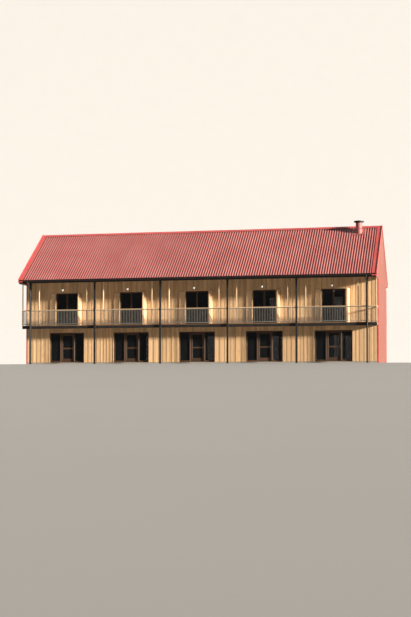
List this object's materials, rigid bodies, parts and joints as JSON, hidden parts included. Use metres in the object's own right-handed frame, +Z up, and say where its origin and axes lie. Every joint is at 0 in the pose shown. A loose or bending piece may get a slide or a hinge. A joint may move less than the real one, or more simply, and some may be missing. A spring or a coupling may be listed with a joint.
{
  "type": "timber waterside lodge",
  "caption": "Long two-storey timber lodge with a ribbed red gable roof, a railed gallery along each long side, glazed bays and hinged ground floor doors.",
  "frame": {"origin": "centre of the building's footprint, on the ground", "axes": "+X along the building towards the gable with the flue, +Y from the front gallery to the rear, +Z up"},
  "size_m": [25.408, 10.1106, 10.1567],
  "materials": {
    "slab": "trowelled concrete, weathered",
    "wall_timber": "upright boards, oiled and weathered",
    "pale_timber": "planed, pale oiled",
    "roof_timber": "sawn, unfinished",
    "frame_timber": "stained, satin",
    "red_sheet": "red coating, weathered satin",
    "dark_steel": "dark grey coating, satin",
    "guard_steel": "pale grey coating, satin",
    "window_glass": "clear, slightly dark",
    "lamp_glass": "opal white"
  },
  "bodies": {
    "building": {"ground_slab": "slab", "upper_floor": "wall_timber", "front_piers": "wall_timber", "front_bands": "wall_timber", "rear_piers": "wall_timber", "rear_bands": "wall_timber", "left_gable_wall": "wall_timber", "right_gable_wall": "wall_timber", "gable_cladding": "red_sheet", "gable_heads": "red_sheet", "front_roof_sheet": "red_sheet", "rear_roof_sheet": "red_sheet", "ridge_cap": "red_sheet", "verge_flashings": "red_sheet", "roof_boards": "roof_timber", "rafters": "roof_timber", "ridge_beam": "roof_timber", "fascias": "dark_steel", "gutters": "dark_steel", "downpipes": "dark_steel", "eave_beams": "roof_timber", "main_posts": "dark_steel", "slim_posts": "pale_timber", "gallery_decks": "roof_timber", "deck_joists": "roof_timber", "edge_beams": "dark_steel", "gallery_guards": "guard_steel", "handrails": "pale_timber", "end_screens": "red_sheet", "window_frames": "frame_timber", "fixed_glass": "window_glass", "door_posts": "frame_timber", "door_rails": "frame_timber", "door_hinges": "dark_steel", "shutters": "pale_timber", "gallery_lamps": "lamp_glass", "flue": "red_sheet", "flue_cap": "dark_steel", "flue_collar": "red_sheet"},
    "door_1": {"door_leaf_1": "frame_timber", "door_glass_1": "window_glass"},
    "door_2": {"door_leaf_2": "frame_timber", "door_glass_2": "window_glass"},
    "door_3": {"door_leaf_3": "frame_timber", "door_glass_3": "window_glass"},
    "door_4": {"door_leaf_4": "frame_timber", "door_glass_4": "window_glass"},
    "door_5": {"door_leaf_5": "frame_timber", "door_glass_5": "window_glass"}
  },
  "joints": [
    {"name": "door_1_hinge", "type": "hinge", "parent": "building", "child": "door_1", "pos_m": [-10.076, -3.146, 1.2], "axis": [0, 0, 1], "range_deg": [0, 95]},
    {"name": "door_2_hinge", "type": "hinge", "parent": "building", "child": "door_2", "pos_m": [-5.276, -3.146, 1.2], "axis": [0, 0, 1], "range_deg": [0, 95]},
    {"name": "door_3_hinge", "type": "hinge", "parent": "building", "child": "door_3", "pos_m": [-0.476, -3.146, 1.2], "axis": [0, 0, 1], "range_deg": [0, 95]},
    {"name": "door_4_hinge", "type": "hinge", "parent": "building", "child": "door_4", "pos_m": [4.324, -3.146, 1.2], "axis": [0, 0, 1], "range_deg": [0, 95]},
    {"name": "door_5_hinge", "type": "hinge", "parent": "building", "child": "door_5", "pos_m": [9.124, -3.146, 1.2], "axis": [0, 0, 1], "range_deg": [0, 95]}
  ]
}
